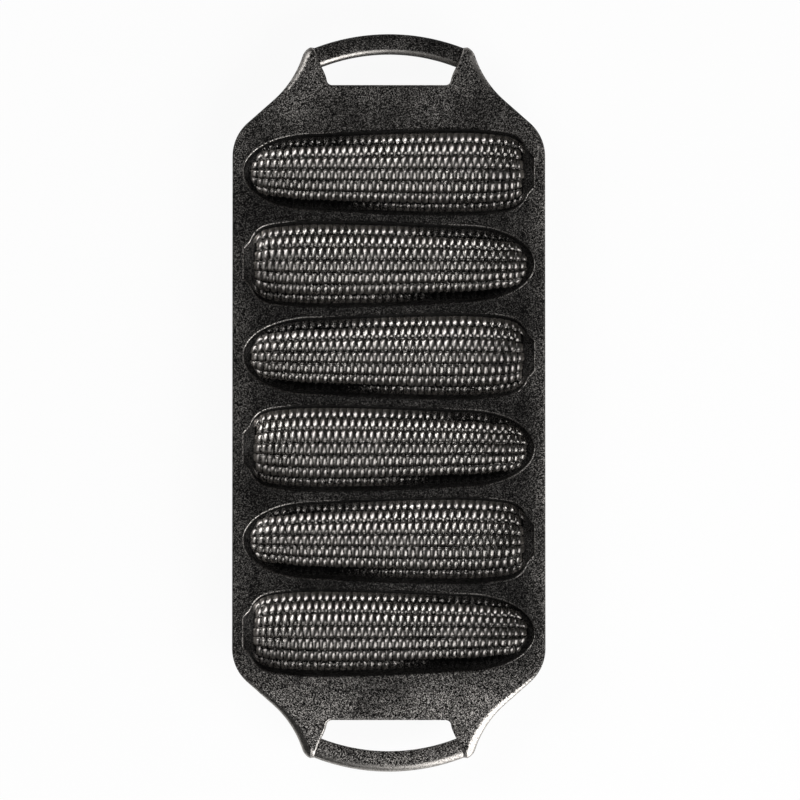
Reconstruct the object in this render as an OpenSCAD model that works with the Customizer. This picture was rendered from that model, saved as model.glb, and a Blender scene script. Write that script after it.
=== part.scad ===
// Corn stick pan: one iron casting, modelled region by region.
// X runs along the ear-shaped cups, Y runs from handle to handle, Z is up.
// The pan rests on the flattened bottoms of its cups at z = 0.

/* [Deck] */
// Thickness of the flat deck between the cups
deck_t = 4.5; // [3.5:0.1:6]
// Iron between the ends of an ear and the pan's straight sides
side_land = 5.6; // [4:0.1:10]
// Iron left between two neighbouring ears where they come closest
web_w = 4.4; // [3.4:0.1:7]
// Distance from the outermost ear to the end of the handle
end_reach = 47; // [44:0.5:55]

/* [Shoulders] */
// How far the tapering shoulders reach in from each end
shoulder_length = 50.4; // [47:0.2:54]
// Half width of the waist where the shoulder turns up into the ear
waist_half_w = 46.7; // [45:0.1:50]
// Distance of that waist from the end of the pan
waist_inset = 24; // [20:0.5:28]
// Half width across the two ears that carry the handle bar
ear_half_w = 41.2; // [40:0.1:43]
// How far those ears stand out beyond the bar's outer edge
ear_overhang = 0.8; // [0:0.1:1.5]
// Radius of the pan's four corners
corner_r = 22; // [14:0.5:25]
// Radius of the hollow curve at the waist
waist_r = 50; // [30:1:65]
// Radius of the ear's own corner
ear_corner_r = 7; // [4:0.5:8]
// Width of the rolled top edge along the straight sides
side_roll = 1.4; // [0.8:0.1:2.2]
// Width of the rolled top edge at the ears
ear_roll = 4.6; // [3:0.1:5]

/* [Handles] */
// Radius of the outer edge of the handle bar
bar_outer_r = 101; // [90:1:115]
// Width of the handle bar in plan
bar_w = 10; // [8:0.5:12]
// Height of the handle bar
bar_h = 6.4; // [5:0.1:8]
// How far the bar's top lies below the deck
bar_recess = 1.4; // [0.6:0.1:2.4]
// Half of the angle that the bar spans
bar_half_angle = 21.3; // [20:0.1:22]
// Radius of the rounded corners of the bar's section
bar_edge_r = 2.2; // [1:0.1:3]
// Rise of the bar's crowned top above its edges
bar_crown = 0.7; // [0.2:0.1:1.2]
// Depth of the finger slot from the bar to its straight edge
slot_depth = 15.3; // [13:0.1:17]
// How far the slot narrows towards its straight edge, on each side
slot_taper = 3.2; // [1.5:0.1:5]
// Radius of the slot's two inner corners
slot_corner_r = 2.6; // [1:0.1:4]

/* [Ears] */
// Number of ear-shaped cups
cup_count = 6; // [2:1:8]
// Length of an ear from its tip to the end of its stem
ear_length = 141.8; // [138:0.1:150]
// Widest half width of an ear, near its stem
ear_radius = 21; // [19.8:0.1:24]
// Half width of the ear where its nose ends
nose_radius = 18.7; // [17:0.1:19.6]
// Length of the rounded nose
nose_length = 37; // [28:1:45]
// Half width of the stem at its flat end
stem_radius = 7.1; // [5:0.1:9]
// Depth of an ear from the deck to its deepest kernel ridge
ear_depth = 20; // [17:0.5:24]
// Clear gap between the undersides of two neighbouring ears, at the deck
shell_gap = 0.4; // [0.3:0.1:1]
// Iron under the deepest kernel ridge
floor_t = 3.5; // [2.8:0.1:5]
// How much of the rounded underside is flattened where the pan rests
rest_flat_h = 1.6; // [1:0.1:2]

/* [Kernels] */
// Kernel rows round the inside of an ear
kernel_rows = 7; // [5:2:9]
// Distance from one kernel to the next along a row
kernel_pitch = 3.54; // [3.2:0.02:3.8]
// Distance of the first kernels from the ear's tip
kernel_start = 1.9; // [1.5:0.1:6]
// Least smooth length between the last kernels and the end of the stem
kernel_end_gap = 5.2; // [5:0.1:9]
// Angle on each side of the bottom that the rows cover
kernel_field = 60.5; // [50:0.5:66]
// Depth of a kernel below the ridges round it
kernel_depth = 1; // [0.5:0.1:1.4]

/* [Hidden] */
iron = [0.13, 0.12, 0.12];
iron_worn = [0.2, 0.19, 0.18];

// Heights
pan_height = ear_depth + floor_t;
deck_bottom = pan_height - deck_t;
cavity_drop = ear_depth - deck_t;
rest_drop = cavity_drop + floor_t;
depth_ratio = cavity_drop / ear_radius;

// Ear profile
belly_swell = ear_radius - nose_radius;
belly_share = 0.745;
belly_x = ear_length * belly_share;
barrel_fall = 3;
barrel_run = 30;
nose_power = 2.2;
butt_length = 17.7;
butt_reach = 1.4;
butt_power = 4;
stem_flare = 1.1;
stem_run = 8;

// Half width of an ear at a distance x from its tip, grown outwards by g
function ear_half_width(x, g = 0) =
    let (from_tip = max(0, x + g),
         from_end = max(0, ear_length + g - x),
         nose_l = nose_length + g,
         nose = (nose_radius + g) * sqrt(max(0, 1 - pow(max(0, 1 - from_tip / nose_l), nose_power))),
         belly = nose_radius + g + belly_swell * sin(90 * (x - nose_length) / (belly_x - nose_length)),
         barrel = ear_radius + g - barrel_fall * pow((x - belly_x) / barrel_run, 2),
         body = from_tip < nose_l ? nose : x < belly_x ? belly : barrel,
         butt_x = ear_length - butt_length,
         butt = max(0, 1 - pow(max(0, x - butt_x) / (butt_length - butt_reach + g), butt_power)),
         stem = from_end > stem_run ? 0 : stem_radius + g + stem_flare * from_end)
    max(body * sqrt(butt), stem);

// Ears lie head to tail, so the web between them is measured at each station along both
web_step = 5;
side_t = (web_w - shell_gap) / 2;
cup_pitch = web_w + max([for (x = [0:web_step:ear_length])
    ear_half_width(x) + ear_half_width(ear_length - x)]);
rows_half = cup_pitch * (cup_count - 1) / 2;

// The shoulder begins beyond the outermost ear and its wall
end_margin = 3.2;
half_length = rows_half + ear_radius + end_reach;
half_width = ear_length / 2 + side_land;
split_y = rows_half + ear_radius + side_t + end_margin;
cut_spare = 5;

// Handle bar and the slot behind it
bar_center_y = half_length - bar_outer_r;
bar_inner_r = bar_outer_r - bar_w;
slot_edge_y = half_length - bar_w - slot_depth;
slot_end_x = bar_inner_r * sin(bar_half_angle);
slot_end_y = bar_center_y + bar_inner_r * cos(bar_half_angle);
slot_bow = 0.5;
slot_steps = 4;

// Outline of the pan, and the shares of its straight runs that the arcs may use up
outline_steps = 5;
end_arc_steps = 5;
corner_room = 0.5;
waist_room = 0.78;
ear_room = 1 - waist_room;
roll_angles = [0, 45, 90];
roll_height = 2.4;

// Kernel rows and the rings of the smooth stretches at both ends
row_angle = 2 * kernel_field / kernel_rows;
zigzag_share = 0.12;
ridge_zigzag = zigzag_share * row_angle;
kernel_count = floor((ear_length - kernel_start - kernel_end_gap) / kernel_pitch);
field_end = kernel_start + kernel_count * kernel_pitch;
nose_ring_share = 0.34;
nose_ring_x = nose_ring_share * kernel_start;
stem_rings = 4;
shell_rings = 15;
shell_angles = [-90, -64, -40, -18, 18, 40, 64, 90];

// Stations of the cavity along the ear
function field_x(half_step) = kernel_start + half_step * kernel_pitch / 2;
stem_x = [for (i = [1:stem_rings]) field_end + (ear_length - field_end) * sin(90 * i / stem_rings)];
rim_x = concat([0, nose_ring_x],
               [for (c = [0:kernel_count]) field_x(2 * c)],
               stem_x);
shell_x = [for (k = [0:shell_rings])
    (ear_length - (ear_length + 2 * side_t) * cos(180 * k / shell_rings)) / 2];

// A point of the cavity, pushed below its surface by p
function cavity_point(x, angle, p = 0) =
    let (r = ear_half_width(x))
    [x, (r + p) * sin(angle), -(r * depth_ratio + p) * cos(angle)];

// A point of the shell's outer face, cut flat where the pan rests
function shell_point(x, angle) =
    let (r = ear_half_width(x, side_t),
         drop = (r - side_t) * depth_ratio + (floor_t + rest_flat_h) * min(1, r / ear_radius))
    [x, r * sin(angle), -min(rest_drop, max(0, drop) * cos(angle))];

// Ridge lines between the kernel rows, zigzag so that neighbouring rows interlock
function line_angle(j) = -kernel_field + j * row_angle;
function ridge_angle(j, h) = line_angle(j) + ((h % 2 == j % 2) ? ridge_zigzag : -ridge_zigzag);
function is_edge_line(j) = j == 0 || j == kernel_rows;
half_steps = 2 * kernel_count;

// Blocks of points of one cup, in order
edge_low = [for (c = [0:kernel_count]) cavity_point(field_x(2 * c), -kernel_field)];
ridges = [for (j = [1:kernel_rows - 1], h = [0:half_steps])
    cavity_point(field_x(h), ridge_angle(j, h))];
edge_high = [for (c = [0:kernel_count]) cavity_point(field_x(2 * c), kernel_field)];
pits = [for (j = [0:kernel_rows - 1], c = [0:kernel_count - 1])
    cavity_point(field_x(2 * c + 1 + j % 2), line_angle(j + 0.5), kernel_depth)];
rim_low = [for (x = rim_x) [x, -ear_half_width(x), 0]];
rim_high = [for (x = rim_x) [x, ear_half_width(x), 0]];
smooth_x = concat([nose_ring_x], stem_x);
smooth_rings = [for (x = smooth_x, j = [0:kernel_rows]) cavity_point(x, line_angle(j))];
shell = [for (x = shell_x, a = shell_angles) shell_point(x, a)];
cup_points = concat(edge_low, ridges, edge_high, pits, rim_low, rim_high, smooth_rings, shell);

// Where each block starts
at_ridges = len(edge_low);
at_edge_high = at_ridges + len(ridges);
at_pits = at_edge_high + len(edge_high);
at_rim_low = at_pits + len(pits);
at_rim_high = at_rim_low + len(rim_x);
at_smooth = at_rim_high + len(rim_x);
at_shell = at_smooth + len(smooth_rings);

function ridge_id(j, h) =
    j == 0 ? h / 2
    : j == kernel_rows ? at_edge_high + h / 2
    : at_ridges + (j - 1) * (half_steps + 1) + h;
function smooth_id(ring, j) = at_smooth + ring * (kernel_rows + 1) + j;
function shell_id(k, a) = at_shell + k * len(shell_angles) + a;

// Faces that join a row of point numbers to the next row, and faces that close a ring
function strip(a, b) = [for (i = [0:len(a) - 2], f = [[a[i], a[i + 1], b[i + 1]], [a[i], b[i + 1], b[i]]]) f];
function fan(apex, loop) = [for (i = [0:len(loop) - 2]) [apex, loop[i], loop[i + 1]]];
function closed_fan(apex, loop) = [for (i = [0:len(loop) - 1]) [apex, loop[i], loop[(i + 1) % len(loop)]]];
function flip(faces) = [for (f = faces) [f[0], f[2], f[1]]];

// One kernel: its pit joined to the ridge points round it
function cell_loop(j, h) = concat(
    is_edge_line(j) ? [ridge_id(j, h), ridge_id(j, h + 2)]
                    : [ridge_id(j, h), ridge_id(j, h + 1), ridge_id(j, h + 2)],
    is_edge_line(j + 1) ? [ridge_id(j + 1, h + 2), ridge_id(j + 1, h)]
                        : [ridge_id(j + 1, h + 2), ridge_id(j + 1, h + 1), ridge_id(j + 1, h)]);
function kernels_in_row(j) = kernel_count - j % 2;
kernel_faces = [for (j = [0:kernel_rows - 1], c = [0:kernels_in_row(j) - 1],
                     f = closed_fan(at_pits + j * kernel_count + c, cell_loop(j, 2 * c + j % 2))) f];

// Rows that start half a kernel late are closed by small flats at both ends
half_flats = [for (j = [1:2:kernel_rows - 2], h = [0, half_steps - 1],
                   f = strip([ridge_id(j, h), ridge_id(j, h + 1)],
                             [ridge_id(j + 1, h), ridge_id(j + 1, h + 1)])) f];

// Smooth walls from the kernels up to the deck
field_ids = [for (c = [0:kernel_count]) c + 2];
wall_faces = concat(
    strip([for (c = field_ids) at_rim_low + c], [for (c = [0:kernel_count]) ridge_id(0, 2 * c)]),
    strip([for (c = [0:kernel_count]) ridge_id(kernel_rows, 2 * c)], [for (c = field_ids) at_rim_high + c]));

// Smooth nose and stem
function field_ring(h) = [for (j = [0:kernel_rows]) ridge_id(j, h)];
function smooth_ring(ring, rim_index) = concat([at_rim_low + rim_index],
    [for (j = [0:kernel_rows]) smooth_id(ring, j)], [at_rim_high + rim_index]);
nose_ring = smooth_ring(0, 1);
first_ring = concat([at_rim_low + 2], field_ring(0), [at_rim_high + 2]);
last_ring = concat([at_rim_low + kernel_count + 2], field_ring(half_steps), [at_rim_high + kernel_count + 2]);
stem_ring_ids = [for (i = [1:stem_rings]) smooth_ring(i, kernel_count + 2 + i)];
stem_chain = concat([last_ring], stem_ring_ids);
end_faces = concat(
    fan(at_rim_low, nose_ring),
    flip(strip(nose_ring, first_ring)),
    [for (i = [0:stem_rings - 1], f = flip(strip(stem_chain[i], stem_chain[i + 1]))) f],
    flip(fan(stem_chain[stem_rings][0], [for (i = [1:kernel_rows + 2]) stem_chain[stem_rings][i]])));

// Outer face of the shell
function shell_ring(k) = [for (a = [0:len(shell_angles) - 1]) shell_id(k, a)];
shell_faces = concat(
    [for (k = [1:shell_rings - 1], f = strip(shell_ring(k), shell_ring(k + 1))) f],
    flip(fan(shell_id(0, 0), shell_ring(1))),
    fan(shell_id(shell_rings, 0), [for (a = [1:len(shell_angles) - 1]) shell_id(shell_rings, a)]));

// Flat face that meets the deck, between the cavity's rim and the shell's edge
shell_low = concat([shell_id(0, 0)], [for (k = [1:shell_rings]) shell_id(k, 0)]);
shell_high = concat([shell_id(0, 0)], [for (k = [1:shell_rings]) shell_id(k, len(shell_angles) - 1)]);
function nearest_shell(i) =
    let (x = (rim_x[i] + rim_x[i + 1]) / 2)
    len([for (k = [1:shell_rings]) if ((shell_x[k] + shell_x[k - 1]) / 2 < x) 1]);
rim_links = [for (i = [0:len(rim_x) - 2]) nearest_shell(i)];
function rim_after(k) = len([for (l = rim_links) if (l <= k) 1]);
function zip_faces(rim, edge) = concat(
    [for (i = [0:len(rim) - 2]) [rim[i], rim[i + 1], edge[rim_links[i]]]],
    [for (k = [0:len(edge) - 2]) [edge[k + 1], edge[k], rim[rim_after(k)]]]);
rim_low_ids = [for (i = [0:len(rim_x) - 1]) at_rim_low + i];
rim_high_ids = [for (i = [0:len(rim_x) - 1]) i == 0 ? at_rim_low : at_rim_high + i];
last = len(rim_x) - 1;
seat_faces = concat(
    flip(zip_faces(rim_low_ids, shell_low)),
    zip_faces(rim_high_ids, shell_high),
    flip(strip([rim_low_ids[last], rim_high_ids[last]], [shell_low[shell_rings], shell_high[shell_rings]])));

cup_faces = flip(concat(kernel_faces, half_flats, wall_faces, end_faces, shell_faces, seat_faces));

// Ears point left and right in turn, the farthest one to the left
function cup_y(i) = rows_half - (i - 1) * cup_pitch;
module place_ear(i) {
    translate([0, cup_y(i), 0])
        rotate([0, 0, i % 2 == 1 ? 0 : 180])
            translate([-ear_length / 2, 0, 0])
                children();
}

module ear_cup(i) {
    color(iron_worn)
        translate([0, 0, deck_bottom])
            place_ear(i)
                polyhedron(points = cup_points, faces = cup_faces);
}

// Ear-shaped window through the deck, straight above a cavity
module ear_window(i) {
    upper = [for (x = rim_x) [x, ear_half_width(x)]];
    lower = [for (k = [len(rim_x) - 1:-1:1]) [rim_x[k], -ear_half_width(rim_x[k])]];
    translate([0, 0, deck_bottom - cut_spare])
        linear_extrude(height = deck_t + 2 * cut_spare)
            place_ear(i)
                polygon(concat(upper, lower));
}

// Outline of a quarter of the pan: its straight side, corner, waist, ear and end arc.
// An arc at q between the lines to p and s starts no farther from q than the room there.
function unit(v) = v / norm(v);
function angle_of(v) = atan2(v[1], v[0]);
function turned(a) = a > 180 ? a - 360 : a < -180 ? a + 360 : a;
function rounded(p, q, s, wanted_r, steps, room) =
    let (to_p = unit(p - q),
         to_s = unit(s - q),
         half = acos(to_p * to_s) / 2,
         r = min(wanted_r, room * tan(half)),
         center = q + unit(to_p + to_s) * r / sin(half),
         start = q + to_p * r / tan(half) - center,
         stop = q + to_s * r / tan(half) - center,
         sweep = turned(angle_of(stop) - angle_of(start)))
    [for (i = [0:steps]) center + r * [cos(angle_of(start) + sweep * i / steps),
                                       sin(angle_of(start) + sweep * i / steps)]];
side_point = [half_width, 0];
corner_point = [half_width, half_length - shoulder_length];
waist_point = [waist_half_w, half_length - waist_inset];
ear_end_r = bar_outer_r + ear_overhang;
ear_angle = asin(ear_half_w / ear_end_r);
ear_point = [ear_half_w, bar_center_y + ear_end_r * cos(ear_angle)];
ear_next = ear_point + [-cos(ear_angle), sin(ear_angle)];
ear_rise = norm(ear_point - waist_point);
slope_run = norm(corner_point - waist_point);
ear_arc = rounded(waist_point, ear_point, ear_next, ear_corner_r, outline_steps, ear_room * ear_rise);
ear_stop = ear_arc[outline_steps];
end_angle = atan2(ear_stop[0], ear_stop[1] - bar_center_y);
end_r = norm(ear_stop - [0, bar_center_y]);
quarter = concat(
    [side_point],
    rounded(side_point, corner_point, waist_point, corner_r, outline_steps, corner_room * slope_run),
    rounded(corner_point, waist_point, ear_point, waist_r, outline_steps, waist_room * ear_rise),
    ear_arc,
    [for (i = [1:end_arc_steps - 1])
        [end_r * sin(end_angle * (1 - i / end_arc_steps)),
         bar_center_y + end_r * cos(end_angle * (1 - i / end_arc_steps))]]);
right_side = concat(
    [[0, -bar_center_y - end_r]],
    [for (i = [len(quarter) - 1:-1:1]) [quarter[i][0], -quarter[i][1]]],
    quarter,
    [[0, bar_center_y + end_r]]);
side_count = len(right_side);

// The rolled edge grows from the straight sides to the ears
function ease(t) = let (c = min(1, max(0, t))) c * c * (3 - 2 * c);
function roll_width(y) =
    let (start = half_length - shoulder_length,
         stop = half_length - waist_inset)
    side_roll + (ear_roll - side_roll) * ease((abs(y) - start) / (stop - start));
function outward(i) =
    i == 0 ? [0, -1]
    : i == side_count - 1 ? [0, 1]
    : let (v = unit(right_side[i + 1] - right_side[i - 1])) [v[1], -v[0]];
function roll_ring(angle) = [for (i = [0:side_count - 1])
    let (p = right_side[i] - outward(i) * roll_width(right_side[i][1]) * (1 - cos(angle)))
    [i == 0 || i == side_count - 1 ? 0 : p[0], p[1], pan_height - roll_height * (1 - sin(angle))]];
bottom_ring = [for (p = right_side) [p[0], p[1], deck_bottom]];
plate_rings = concat([bottom_ring], [for (a = roll_angles) roll_ring(a)]);
ring_count = len(plate_rings);
function mirrored(ring) = [for (p = ring) [-p[0], p[1], p[2]]];
plate_points = concat([for (ring = plate_rings, p = ring) p],
                      [for (ring = plate_rings, p = mirrored(ring)) p]);
function right_id(ring, i) = ring * side_count + i;
function left_id(ring, i) =
    i == 0 || i == side_count - 1 ? right_id(ring, i) : (ring_count + ring) * side_count + i;
function right_ring(ring) = [for (i = [0:side_count - 1]) right_id(ring, i)];
function left_ring(ring) = [for (i = [0:side_count - 1]) left_id(ring, i)];
function clean(faces) = [for (f = faces) if (f[0] != f[1] && f[1] != f[2] && f[2] != f[0]) f];
plate_faces = clean(concat(
    [for (ring = [0:ring_count - 2], f = strip(right_ring(ring), right_ring(ring + 1))) flip([f])[0]],
    [for (ring = [0:ring_count - 2], f = strip(left_ring(ring), left_ring(ring + 1))) f],
    strip(right_ring(0), left_ring(0)),
    flip(strip(right_ring(ring_count - 1), left_ring(ring_count - 1)))));

module plate_blank() {
    polyhedron(points = plate_points, faces = plate_faces);
}

module deck() {
    color(iron)
        difference() {
            intersection() {
                plate_blank();
                translate([-half_width - cut_spare, -split_y, 0])
                    cube([2 * (half_width + cut_spare), 2 * split_y, pan_height + cut_spare]);
            }
            for (i = [1:cup_count])
                ear_window(i);
        }
}

// Room for the finger slot and the handle bar, as one cut through a shoulder
function slot_side(side) = [for (i = [0:slot_steps])
    let (t = i / slot_steps,
         fall = slot_end_y - slot_edge_y)
    [side * (slot_end_x - slot_taper * t - slot_bow * sin(180 * t)), slot_end_y - fall * t]];
module slot_and_bar_room() {
    reach = bar_outer_r + cut_spare;
    room = [for (s = [1, -1])
        [s * reach * sin(bar_half_angle), bar_center_y + reach * cos(bar_half_angle)]];
    right = slot_side(1);
    left = slot_side(-1);
    corners = [right[slot_steps], left[slot_steps]];
    slot_step = norm(right[slot_steps - 1] - corners[0]);
    right_round = rounded(right[slot_steps - 1], corners[0], corners[1], slot_corner_r, slot_steps, slot_step);
    left_round = rounded(corners[0], corners[1], left[slot_steps - 1], slot_corner_r, slot_steps, slot_step);
    translate([0, 0, deck_bottom - cut_spare])
        linear_extrude(height = deck_t + 2 * cut_spare)
            polygon(concat(
                [room[0]],
                [for (i = [0:slot_steps - 1]) right[i]],
                right_round,
                left_round,
                [for (i = [slot_steps - 1:-1:0]) left[i]],
                [room[1], [0, bar_center_y + reach / cos(bar_half_angle)]]));
}

module shoulder() {
    color(iron)
        difference() {
            intersection() {
                plate_blank();
                translate([-half_width - cut_spare, split_y, 0])
                    cube([2 * (half_width + cut_spare), half_length, pan_height + cut_spare]);
            }
            slot_and_bar_room();
        }
}

module far_shoulder() {
    shoulder();
}

module near_shoulder() {
    rotate([0, 0, 180])
        shoulder();
}

// Section of the handle bar: rounded corners and a crowned top
module bar_section() {
    half = bar_w / 2;
    inner = half - bar_edge_r;
    side_top = bar_h - bar_crown;
    arc_steps = 5;
    function corner(cx, cy, start) = [for (i = [0:arc_steps])
        [cx + bar_edge_r * cos(start + 90 * i / arc_steps),
         cy + bar_edge_r * sin(start + 90 * i / arc_steps)]];
    crown = [for (t = [0.6, 0.2, -0.2, -0.6]) [inner * t, side_top + bar_crown * (1 - t * t)]];
    polygon(concat(
        corner(inner, side_top - bar_edge_r, 0),
        crown,
        corner(-inner, side_top - bar_edge_r, 90),
        corner(-inner, bar_edge_r, 180),
        corner(inner, bar_edge_r, 270)));
}

module handle_bar() {
    color(iron)
        translate([0, bar_center_y, pan_height - bar_recess - bar_h])
            rotate_extrude(angle = 2 * bar_half_angle, start = 90 - bar_half_angle, $fn = 180)
                translate([bar_outer_r - bar_w / 2, 0])
                    bar_section();
}

module far_handle_bar() {
    handle_bar();
}

module near_handle_bar() {
    rotate([0, 0, 180])
        handle_bar();
}

deck();
far_shoulder();
near_shoulder();
far_handle_bar();
near_handle_bar();
for (i = [1:cup_count])
    ear_cup(i);
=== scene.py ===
# %% [markdown]
# # A cast iron corn stick pan
# The pan is one iron casting: a flat deck with six ear-shaped cups hanging under it, head to tail, and a
# looped handle at each end. This lesson dresses the solid model, which arrives as the frame. Every
# surface is rebuilt as a finer mesh in the same place, because the solids carry a kernel as six flat
# facets, and a real pan has round-bottomed pits, rolled edges and a pebbly skin.

# %% Load the frame
import math
import bpy
import numpy as np
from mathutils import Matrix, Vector
from mathutils.geometry import delaunay_2d_cdt


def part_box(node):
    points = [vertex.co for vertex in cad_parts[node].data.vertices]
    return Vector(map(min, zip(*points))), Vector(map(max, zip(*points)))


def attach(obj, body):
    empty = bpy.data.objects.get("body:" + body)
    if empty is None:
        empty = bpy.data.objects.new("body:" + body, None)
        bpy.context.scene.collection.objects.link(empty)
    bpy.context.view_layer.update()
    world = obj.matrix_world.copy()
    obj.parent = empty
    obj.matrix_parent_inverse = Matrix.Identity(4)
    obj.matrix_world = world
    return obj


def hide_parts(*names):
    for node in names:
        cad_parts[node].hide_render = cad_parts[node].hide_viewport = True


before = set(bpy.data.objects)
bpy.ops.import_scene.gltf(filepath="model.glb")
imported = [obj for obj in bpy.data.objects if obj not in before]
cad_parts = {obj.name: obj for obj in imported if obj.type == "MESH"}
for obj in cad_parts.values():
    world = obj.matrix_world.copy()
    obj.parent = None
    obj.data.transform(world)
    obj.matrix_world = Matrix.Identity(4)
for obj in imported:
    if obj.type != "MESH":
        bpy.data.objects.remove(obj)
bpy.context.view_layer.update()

# %% [markdown]
# ## Sizes
# Positions come from the frame, in metres, so nothing has to be fitted by eye. The shape of an ear can't
# be read from a box, so its few driving sizes are repeated here in millimetres. MM turns them into
# metres, once, when a mesh is made.

# %% Driving sizes
MM = 0.001

def box_mm(node):
    low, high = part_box(node)
    return np.array(low) / MM, np.array(high) / MM

deck_low, deck_high = box_mm("deck")
bar_low, bar_high = box_mm("far_handle_bar")
cup_nodes = sorted(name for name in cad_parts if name.startswith("ear_cup_"))
cup_boxes = [box_mm(name) for name in cup_nodes]

TOP = deck_high[2]
UNDER = deck_low[2]
HALF_WIDTH = deck_high[0]
HALF_LENGTH = bar_high[1]

EAR_LENGTH = 141.8
EAR_RADIUS = 21.0
NOSE_RADIUS = 18.7
NOSE_LENGTH = 37.0
STEM_RADIUS = 7.1
EAR_DEPTH = 20.0
FLOOR_T = 3.5
SIDE_T = 2.0
REST_FLAT = 1.6
DEPTH_RATIO = (EAR_DEPTH - (TOP - UNDER)) / EAR_RADIUS
print(f"deck top {TOP:.1f} mm, pan {2 * HALF_WIDTH:.1f} by {2 * HALF_LENGTH:.1f} mm, {len(cup_nodes)} ears")

# %% [markdown]
# ## Small helpers
# A casting is all flowing surfaces, so nearly every mesh here is a grid of points: rows along the piece,
# columns across it. One function turns such a grid into faces, and one makes the Blender object, puts it
# on its body and hides the solids it stands for. The second also stores numbers on the points of the
# mesh: where the iron is worn, where it is painted dark as shade, and where it is still sandy.

# %% Mesh helpers
scene = bpy.context.scene

def grid_faces(rows, columns, start=0, closed=False, flip=False):
    faces = []
    last = columns if closed else columns - 1
    for r in range(rows - 1):
        for c in range(last):
            d = (c + 1) % columns
            a, b = start + r * columns + c, start + r * columns + d
            e, f = start + (r + 1) * columns + c, start + (r + 1) * columns + d
            faces.append((a, e, f, b) if flip else (a, b, f, e))
    return faces

def make_piece(name, points, faces, material, nodes, slot, **surface):
    mesh = bpy.data.meshes.new(name)
    mesh.from_pydata((np.asarray(points) * MM).tolist(), [], faces)
    mesh.validate()
    for key, values in surface.items():
        per_point = np.broadcast_to(np.asarray(values, float).ravel(), len(mesh.vertices))
        mesh.attributes.new(key, "FLOAT", "POINT").data.foreach_set("value", per_point)
    mesh.polygons.foreach_set("use_smooth", [True] * len(mesh.polygons))
    mesh.materials.append(material)
    piece = bpy.data.objects.new(name, mesh)
    scene.collection.objects.link(piece)
    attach(piece, "root")
    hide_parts(*nodes)
    print(f"{name}: {len(mesh.vertices)} points, {len(mesh.polygons)} faces")

print("a grid of 3 by 3 points has", len(grid_faces(3, 3)), "faces")

# %% [markdown]
# ## Colours and nodes
# Colours are written as sRGB hex, the way a colour picker shows them. Shaders count in linear light, so
# one function converts them. A second one adds a node of any kind with its settings and its incoming
# links. In Blender every kind of node here has a name that starts with ShaderNode.

# %% Colour and node helpers
def linear(hex_colour):
    channels = [int(hex_colour[i:i + 2], 16) / 255 for i in (1, 3, 5)]
    curve = [c / 12.92 if c <= 0.04045 else ((c + 0.055) / 1.055) ** 2.4 for c in channels]
    return (*curve, 1.0)

def add_node(tree, kind, settings=None, links=None):
    node = tree.nodes.new("ShaderNode" + kind)
    for key, value in (settings or {}).items():
        if isinstance(key, int) or key in node.inputs:
            node.inputs[key].default_value = value
        else:
            setattr(node, key, value)
    for socket, source in (links or {}).items():
        tree.links.new(source, node.inputs[socket])
    return node

print("mid grey in linear light:", round(linear("#808080")[0], 3))

# %% [markdown]
# ## Seasoned cast iron
# The real surface is grey iron, poured in a sand mould, so its skin keeps the print of the sand. Oil is
# then baked on in thin coats and turns to a hard black film. The eye sees almost no colour, and small
# grey glints on black. Where a cook's hand and the corn bread rub, on rolled edges and in the kernels,
# the film is thin and smooth and the iron shines through like dull steel. Both finishes are one recipe,
# steered by two numbers at each point of the mesh. The first says how far the film is worn: 0 is the
# black skin and 1 is rubbed metal. Inside the ears it also carries painted shade, held low there to keep
# the walls and the near rows dark. The second, as_cast, says how sandy the skin still is. A plain mix of
# black and metal looks like grey milk, so every grain draws a lot that says when it wears bare, and a
# half-worn place is a scatter of bright and black grains. The grains are drawn 0.38 mm wide and the
# pebbles of the relief 0.6 mm, coarser than most moulding sand, because finer ones would vanish in the
# picture. Patches of 26 mm, about a thumb's width, make it uneven. A grain wears bare when the wear
# passes its own lot, over a short span, so that its edge is soft.

# %% Grain of the skin
PEBBLE_MM, GRAIN_MM, PATCH_MM = 0.6, 0.38, 26.0
PEBBLE_DETAIL, PEBBLE_ROUGHNESS, PATCH_DETAIL = 2.0, 0.6, 3.0

def iron_pattern(tree, place):
    at = {"Vector": place}
    pebble_look = {"Scale": 1 / (PEBBLE_MM * MM), "Detail": PEBBLE_DETAIL, "Roughness": PEBBLE_ROUGHNESS}
    pebbles = add_node(tree, "TexNoise", pebble_look, at)
    patch_look = {"Scale": 1 / (PATCH_MM * MM), "Detail": PATCH_DETAIL}
    patches = add_node(tree, "TexNoise", patch_look, at)
    grains = add_node(tree, "TexVoronoi", {"Scale": 1 / (GRAIN_MM * MM)}, at)
    lots = add_node(tree, "SeparateColor", {}, {"Color": grains.outputs["Color"]})
    return pebbles.outputs["Fac"], patches.outputs["Fac"], lots.outputs

print(f"a grain is {GRAIN_MM} mm wide, so {1 / GRAIN_MM:.1f} of them lie along a millimetre")

# %% Grains worn bare
LOT_SPAN = 0.4

def bare_grains(tree, wear, lots):
    hold = add_node(tree, "Math", {"operation": "DIVIDE", 1: -LOT_SPAN}, {0: lots["Blue"]})
    passed = {"operation": "MULTIPLY_ADD", 1: (1 + LOT_SPAN) / LOT_SPAN, "use_clamp": True}
    return add_node(tree, "Math", passed, {0: wear, 2: hold.outputs["Value"]}).outputs["Value"]

print(f"a grain goes from black to bare over {LOT_SPAN / (1 + LOT_SPAN):.2f} of the wear")

# %% [markdown]
# ## Sand, and painted light towards the ends and margins
# An even share of sand shows all over the deck, and more of it towards the ends and the margins, most of
# all at the near end and along the right margin. These bands are painted light: they stand in for the
# brighter light on those parts of the deck. A band is a plain ramp along one axis, from a start in
# millimetres to a stop, and the bands add up. Sand then shows where a grain is bright by its lot, the
# patch isn't too black, the even share and the bands allow it and the skin is as cast: four numbers,
# multiplied.

# %% Bands of painted light
END_FROM, END_TO = 118.0, 150.0
SIDE_FROM, SIDE_TO = 66.0, 76.0

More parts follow.
